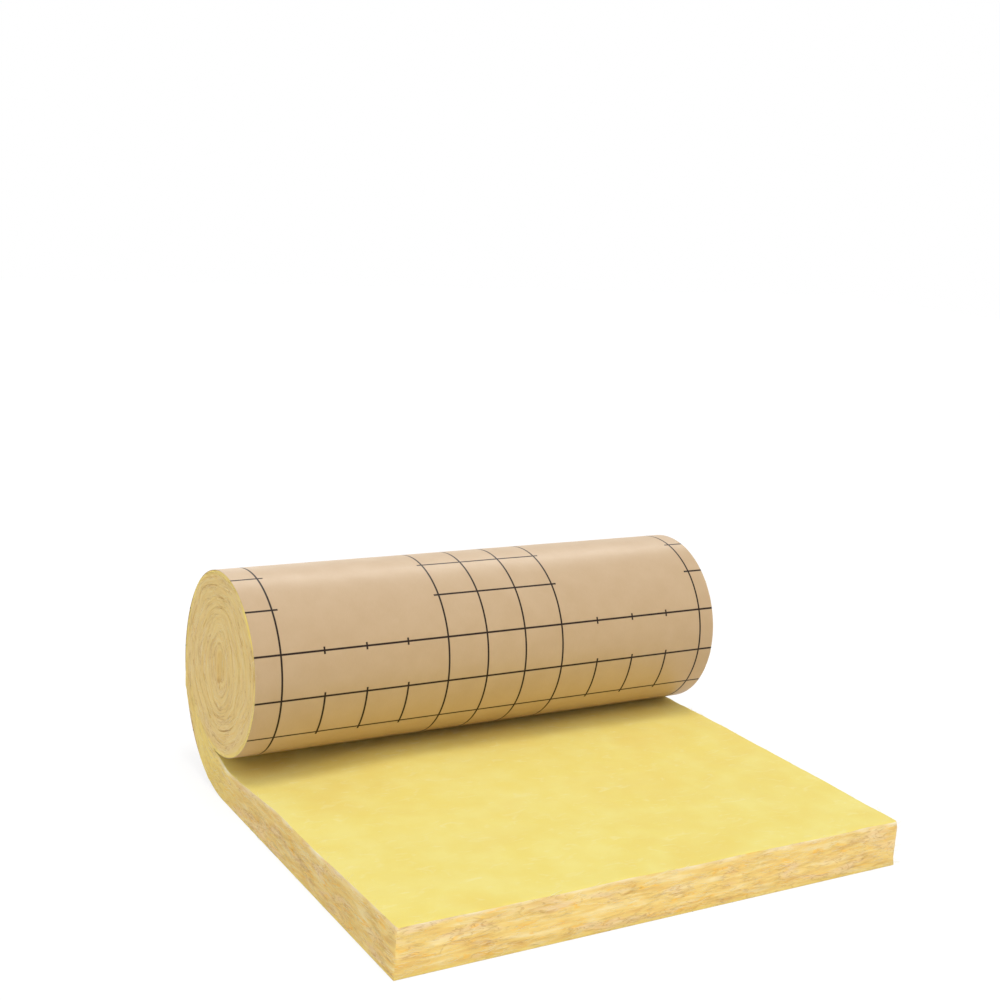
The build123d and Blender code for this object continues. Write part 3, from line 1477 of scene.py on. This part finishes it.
    def build(self) -> bpy.types.Object:
        """Makes the sheet, with its thickness towards the wool.

        Returns:
            The object, linked to the scene.
        """
        piece = bpy.data.objects.new("kraft_sheet", bpy.data.meshes.new("kraft_sheet"))
        bpy.context.scene.collection.objects.link(piece)
        node_modifier(piece, self.bend_tree(), self.sizes() | {"Finish": self.printed_finish})
        thickness = piece.modifiers.new("paper", "SOLIDIFY")
        thickness.thickness = self.section.facing
        thickness.offset = 1.0
        plain_mesh(piece)
        printed_faces = (self.columns - 1) * (self.rows - 1)
        piece.data.materials.append(self.bare_finish)
        for polygon in piece.data.polygons[printed_faces:]:
            polygon.material_index = 1
        piece.data.shade_smooth()
        piece.data.set_sharp_from_angle(angle=self.sharp_angle)
        return piece


@dataclass
class LooseFibres:
    """Single fibres that stand out of the wool, mostly along the layers of its cut edges.

    They are drawn thicker and fewer than real ones, which are too fine to show.
    """

    wool: bpy.types.Object
    finish: bpy.types.Material
    density: float = 9000.0  # strands on a square metre of the cut edges
    strand_length: float = 20 * MM
    shortest: float = 0.35  # share of that length
    longest: float = 1.3
    strand_radius: float = 0.22 * MM
    strand_parts: int = 2
    strand_sides: int = 3
    sag: float = 1.6 * MM
    stray: float = 0.3
    lift: float = 0.1
    seed: int = 7

    def sizes(self) -> dict[str, float]:
        """Gives the sizes and shares of the strands, by the names of the tree's inputs.

        Returns:
            A value for each named input.
        """
        return {
            "Density": self.density,
            "Strand Length": self.strand_length,
            "Strand Radius": self.strand_radius,
            "Sag": self.sag,
            "Stray": self.stray,
            "Lift": self.lift,
        }

    def strand_tree(self) -> bpy.types.NodeTree:
        """Builds the tree that sets bent strands along the grain of the wool.

        Returns:
            The node tree.
        """
        sockets = {name: "NodeSocketFloat" for name in self.sizes()}
        sockets |= {"Seed": "NodeSocketInt", "Finish": "NodeSocketMaterial"}
        tree, given = node_tree("loose_fibre_strands", sockets)
        size = given.outputs
        fuzz = add_node(tree, "GeometryNodeInputNamedAttribute", {"Name": FUZZ}, data_type="FLOAT")
        density = add_node(tree, "ShaderNodeMath", [fuzz, size["Density"]], operation="MULTIPLY")
        spots = add_node(
            tree,
            "GeometryNodeDistributePointsOnFaces",
            {"Mesh": size["Geometry"], "Density": density, "Seed": size["Seed"]},
        )
        grain = add_node(tree, "GeometryNodeInputNamedAttribute", {"Name": GRAIN}, data_type="FLOAT_VECTOR")
        either_way = {"Min": -1.0, "Max": 1.0, "Seed": size["Seed"]}
        flip = add_node(tree, "FunctionNodeRandomValue", either_way, data_type="FLOAT")
        sense = add_node(tree, "ShaderNodeMath", [flip], operation="SIGN")
        along = add_node(tree, "ShaderNodeVectorMath", {0: grain, "Scale": sense}, operation="SCALE")
        any_way = {"Min": (-1.0, -1.0, -1.0), "Max": (1.0, 1.0, 1.0), "Seed": size["Seed"]}
        astray = add_node(tree, "FunctionNodeRandomValue", any_way, data_type="FLOAT_VECTOR")
        aside = add_node(tree, "ShaderNodeVectorMath", {0: astray, "Scale": size["Stray"]}, operation="SCALE")
        leaning = add_node(tree, "ShaderNodeVectorMath", [along, aside], operation="ADD")
        normal = spots.outputs["Normal"]
        depth = add_node(tree, "ShaderNodeVectorMath", [leaning, normal], operation="DOT_PRODUCT")
        inward = add_node(
            tree, "ShaderNodeVectorMath", {0: normal, "Scale": depth.outputs["Value"]}, operation="SCALE"
        )
        flat = add_node(tree, "ShaderNodeVectorMath", [leaning, inward], operation="SUBTRACT")
        rise = add_node(tree, "ShaderNodeVectorMath", {0: normal, "Scale": size["Lift"]}, operation="SCALE")
        heading = add_node(tree, "ShaderNodeVectorMath", [flat, rise], operation="ADD")
        turned = add_node(tree, "FunctionNodeAlignRotationToVector", {"Vector": heading}, axis="X")
        settled = add_node(
            tree,
            "FunctionNodeAlignRotationToVector",
            {"Rotation": turned, "Vector": normal},
            axis="Z",
            pivot_axis="X",
        )
        half = add_node(tree, "ShaderNodeMath", [size["Strand Length"], 0.5], operation="MULTIPLY")
        dip = add_node(tree, "ShaderNodeMath", [size["Sag"], -1.0], operation="MULTIPLY")
        strand = add_node(
            tree,
            "GeometryNodeCurveQuadraticBezier",
            {
                "Resolution": self.strand_parts,
                "Start": (0.0, 0.0, 0.0),
                "Middle": add_node(tree, "ShaderNodeCombineXYZ", [half, 0.0, size["Sag"]]),
                "End": add_node(tree, "ShaderNodeCombineXYZ", [size["Strand Length"], 0.0, dip]),
            },
        )
        round_section = {"Resolution": self.strand_sides, "Radius": size["Strand Radius"]}
        profile = add_node(tree, "GeometryNodeCurvePrimitiveCircle", round_section)
        solid = add_node(
            tree, "GeometryNodeCurveToMesh", {"Curve": strand, "Profile Curve": profile, "Fill Caps": True}
        )
        lengths = {"Min": self.shortest, "Max": self.longest, "Seed": size["Seed"]}
        length = add_node(tree, "FunctionNodeRandomValue", lengths, data_type="FLOAT")
        scale = add_node(tree, "ShaderNodeCombineXYZ", [length, 1.0, length])
        strands = add_node(
            tree,
            "GeometryNodeInstanceOnPoints",
            {"Points": spots, "Instance": solid, "Rotation": settled, "Scale": scale},
        )
        real = add_node(tree, "GeometryNodeRealizeInstances", [strands])
        spot = add_node(tree, "ShaderNodeSeparateXYZ", [add_node(tree, "GeometryNodeInputPosition")])
        above = add_node(
            tree, "ShaderNodeMath", [spot.outputs["Z"], size["Strand Radius"]], operation="MAXIMUM"
        )
        kept = add_node(tree, "ShaderNodeCombineXYZ", [spot.outputs["X"], spot.outputs["Y"], above])
        lifted = add_node(tree, "GeometryNodeSetPosition", {"Geometry": real, "Position": kept})
        dressed = add_node(tree, "GeometryNodeSetMaterial", {"Geometry": lifted, "Material": size["Finish"]})
        add_node(tree, "NodeGroupOutput", [dressed])
        return tree

    def build(self) -> bpy.types.Object:
        """Makes all the strands as one plain mesh.

        Returns:
            The object, linked to the scene.
        """
        piece = bpy.data.objects.new("loose_fibres", self.wool.data.copy())
        bpy.context.scene.collection.objects.link(piece)
        values = self.sizes() | {"Seed": self.seed, "Finish": self.finish}
        node_modifier(piece, self.strand_tree(), values)
        plain_mesh(piece)
        return piece


@dataclass(frozen=True)
class SunLamp:
    """A soft studio lamp, far away.

    Its angles are in degrees, and its azimuth is counted from the front towards the right.
    """

    name: str
    strength: float
    spread: float
    azimuth: float
    elevation: float

    def build(self) -> None:
        """Makes the lamp, which shines from its azimuth and elevation."""
        data = bpy.data.lights.new(self.name, "SUN")
        data.energy = self.strength
        data.angle = math.radians(self.spread)
        lamp = bpy.data.objects.new(self.name, data)
        turn = Matrix.Rotation(math.radians(self.azimuth), 4, "Z")
        tilt = Matrix.Rotation(math.radians(90 - self.elevation), 4, "X")
        lamp.matrix_world = turn @ tilt
        bpy.context.scene.collection.objects.link(lamp)


@dataclass(frozen=True)
class CardLamp:
    """A lit white card.

    Two low cards light the cut front, and one hangs behind for the sheen of the paper.
    """

    name: str
    power: float
    size: tuple[float, float]
    place: tuple[float, float, float]
    aim: tuple[float, float, float]
    gloss_only: bool = False

    def build(self) -> None:
        """Makes the lamp, which shines from its place to its aim and isn't seen by the camera."""
        data = bpy.data.lights.new(self.name, "AREA")
        data.shape = "RECTANGLE"
        data.size, data.size_y = self.size
        data.energy = self.power
        lamp = bpy.data.objects.new(self.name, data)
        way = Vector(self.aim) - Vector(self.place)
        lamp.matrix_world = Matrix.Translation(self.place) @ way.to_track_quat("-Z", "Y").to_matrix().to_4x4()
        lamp.visible_camera = False
        lamp.visible_diffuse = not self.gloss_only
        bpy.context.scene.collection.objects.link(lamp)


@dataclass
class Studio:
    """The pale floor, the soft light and the camera, with angles in degrees and the lens in millimetres."""

    floor_half: float = 12.0
    floor_drop: float = 0.6 * MM
    floor_colour: str = "#efefef"
    floor_glow: float = 0.09
    floor_share: float = 0.75
    white: str = "#ffffff"
    side_light: float = 0.25
    top_light: float = 0.55
    lens: float = 56.32
    sensor: float = 36.0
    view_reach: float = 100.0
    stand: tuple[float, float, float] = (-1.790, -2.756, 1.428)
    azimuth: float = 31.29
    pitch: float = 12.41
    roll: float = 3.98
    lamps: tuple[SunLamp | CardLamp, ...] = (
        SunLamp("overhead", strength=0.98, spread=18.0, azimuth=0.0, elevation=80.0),
        SunLamp("high_front", strength=0.5, spread=30.0, azimuth=-10.0, elevation=58.0),
        SunLamp("left_fill", strength=0.55, spread=50.0, azimuth=-80.0, elevation=20.0),
        SunLamp("right_fill", strength=0.6, spread=50.0, azimuth=95.0, elevation=8.0),
        SunLamp("back_fill", strength=0.5, spread=50.0, azimuth=180.0, elevation=12.0),
        CardLamp(
            "front_card", power=1.0, size=(2.0, 0.42), place=(0.0, -0.78, 0.005), aim=(0.0, -0.78, 1.0)
        ),
        CardLamp(
            "front_strip", power=0.85, size=(2.2, 0.1), place=(0.0, -1.05, 0.06), aim=(0.0, -0.5, 0.04)
        ),
        CardLamp(
            "back_strip",
            power=24.0,
            size=(2.6, 0.3),
            place=(0.5, 1.3, 1.75),
            aim=(0.5, 0.33, 0.5),
            gloss_only=True,
        ),
    )

    def build(self) -> None:
        """Makes the floor, the world, the lamps and the camera, and sets the view."""
        self.floor()
        self.world()
        for lamp in self.lamps:
            lamp.build()
        self.camera()
        bpy.context.scene.view_settings.view_transform = "Standard"

    def shown(self, tree: bpy.types.NodeTree) -> bpy.types.Node:
        """Tells what is seen from what only gives light.

        Args:
            tree: The node tree of the floor or the world.

        Returns:
            The node that gives 1 to what is seen, straight, mirrored or through something, and 0 to light.
        """
        ray = add_node(tree, "ShaderNodeLightPath").outputs
        straight = [ray["Is Camera Ray"], ray["Is Glossy Ray"]]
        seen = add_node(tree, "ShaderNodeMath", straight, operation="MAXIMUM")
        return add_node(tree, "ShaderNodeMath", [seen, ray["Is Transmission Ray"]], operation="MAXIMUM")

    def floor(self) -> bpy.types.Object:
        """Makes the floor: a matt white sheet that keeps the shadow and looks white to the camera.

        Returns:
            The object, linked to the scene.
        """
        half = self.floor_half
        mesh = bpy.data.meshes.new("studio_floor")
        places = [(-half, -half), (half, -half), (half, half), (-half, half)]
        mesh.from_pydata([(x, y, -self.floor_drop) for x, y in places], [], [(0, 1, 2, 3)])
        material, tree = empty_material("matt_studio_floor")
        share = add_node(tree, "ShaderNodeMath", [self.shown(tree), self.floor_share], operation="MULTIPLY")
        matt = add_node(tree, "ShaderNodeBsdfDiffuse", {"Color": linear(self.floor_colour)})
        light = {"Color": linear(self.white), "Strength": 1.0 + self.floor_glow}
        glow = add_node(tree, "ShaderNodeEmission", light)
        surface = add_node(tree, "ShaderNodeMixShader", [share, matt, glow])
        add_node(tree, "ShaderNodeOutputMaterial", [surface])
        mesh.materials.append(material)
        floor = bpy.data.objects.new("studio_floor", mesh)
        bpy.context.scene.collection.objects.link(floor)
        return floor

    def world(self) -> None:
        """Makes the world: white where it is seen, and an even soft light."""
        world = bpy.data.worlds.new("studio_world")
        world.use_nodes = True
        tree = world.node_tree
        tree.nodes.clear()
        toward = add_node(tree, "ShaderNodeTexCoord").outputs["Generated"]
        way = add_node(tree, "ShaderNodeSeparateXYZ", [toward])
        lit = {"Value": way.outputs["Z"], "To Min": self.side_light, "To Max": self.top_light}
        softbox = add_node(tree, "ShaderNodeMapRange", lit)
        levels = {"Factor": self.shown(tree), "A": softbox, "B": 1.0}
        level = add_node(tree, "ShaderNodeMix", levels, data_type="FLOAT")
        sky = add_node(tree, "ShaderNodeBackground", {"Color": linear(self.white), "Strength": level})
        add_node(tree, "ShaderNodeOutputWorld", [sky])
        bpy.context.scene.world = world

    def camera(self) -> None:
        """Makes the camera, at the photograph's angle."""
        data = bpy.data.cameras.new("camera")
        data.lens = self.lens
        data.sensor_width = self.sensor
        data.clip_end = self.view_reach
        camera = bpy.data.objects.new("camera", data)
        heading = Matrix.Rotation(math.radians(-self.azimuth), 4, "Z")
        pitch = Matrix.Rotation(math.radians(90 - self.pitch), 4, "X")
        roll = Matrix.Rotation(math.radians(self.roll), 4, "Z")
        camera.matrix_world = Matrix.Translation(self.stand) @ heading @ pitch @ roll
        bpy.context.scene.collection.objects.link(camera)
        bpy.context.scene.camera = camera


def report(piece: bpy.types.Object) -> None:
    """Logs a finished piece, with its triangles."""
    triangles = sum(len(polygon.vertices) - 2 for polygon in piece.data.polygons)
    log.info("%s: %d points, %d triangles", piece.name, len(piece.data.vertices), triangles)


def main() -> None:
    """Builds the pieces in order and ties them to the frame."""
    logging.basicConfig(level=logging.INFO, format="%(name)s: %(message)s")
    Studio().build()
    section = RollSection.from_frame()
    low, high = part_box("wool_blanket")
    face_finish = MattedWoolFace().build()
    cut_finish = CutWoolEdge().build()

    wool = WoolBlanket(section, high.x, face_finish, cut_finish).build()
    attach(wool, "root")
    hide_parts("wool_blanket")
    report(wool)

    grid = CuttingGrid(first_row=section.facing_run(math.pi + FIRST_ROW_TURN))
    printed_finish = KraftPaper("printed_kraft_paper", grid).build()
    bare_finish = KraftPaper("bare_kraft_paper").build()
    paper = KraftFacing(section, high.x - low.x, printed_finish, bare_finish).build()
    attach(paper, "root")
    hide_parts("kraft_facing")
    report(paper)

    fibres = LooseFibres(wool, GlassFibre().build()).build()
    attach(fibres, "root")
    report(fibres)


if __name__ == "__main__":
    main()
